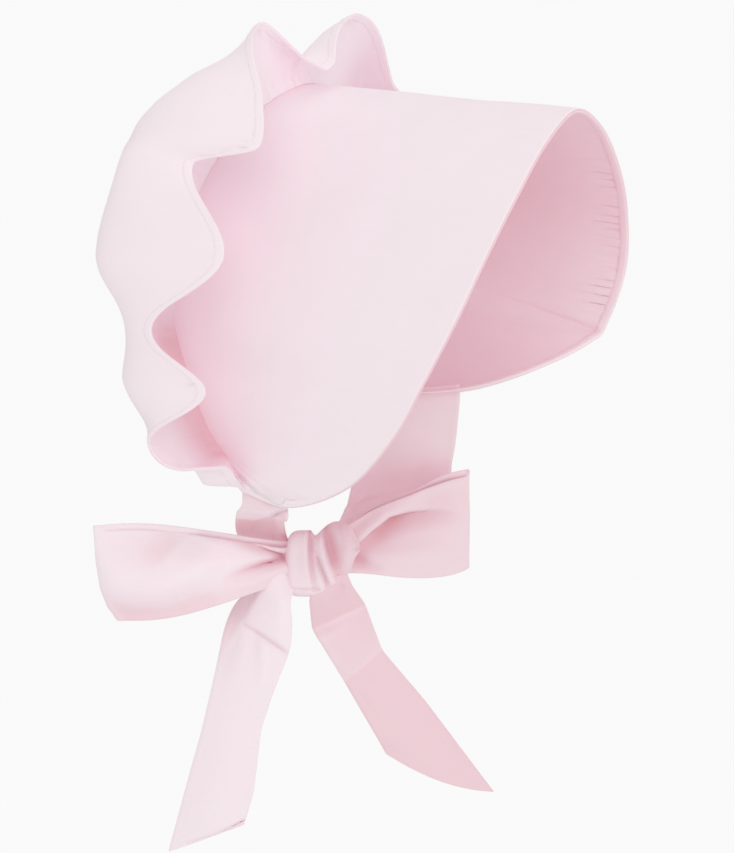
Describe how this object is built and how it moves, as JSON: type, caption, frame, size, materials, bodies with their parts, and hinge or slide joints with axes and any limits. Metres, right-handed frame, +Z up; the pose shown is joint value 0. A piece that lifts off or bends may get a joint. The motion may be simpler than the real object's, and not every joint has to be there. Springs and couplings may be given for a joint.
{
  "type": "baby bonnet",
  "caption": "Baby bonnet in pale pink cotton with a deep smooth brim, a wide wavy ruffle round the crown seam and broad ties knotted under the chin in a bow with long hanging tails",
  "frame": {"origin": "where the top of the wearer's head meets the inside of the brim, on the middle plane", "axes": "+X the wearer's left, -Y the way the face looks, +Z up"},
  "size_m": [0.229, 0.1915, 0.364],
  "materials": {
    "cloth": "matte plain-weave cotton",
    "tie_cloth": "matte plain-weave cotton"
  },
  "bodies": {
    "root": {"brim": "cloth", "crown": "cloth", "ruffle": "cloth", "tie_strap_right": "cloth", "tie_strap_left": "tie_cloth", "bow_knot": "cloth", "bow_loop_right": "cloth", "bow_loop_left": "tie_cloth", "tie_tail_right": "cloth", "tie_tail_left": "tie_cloth"}
  },
  "joints": []
}
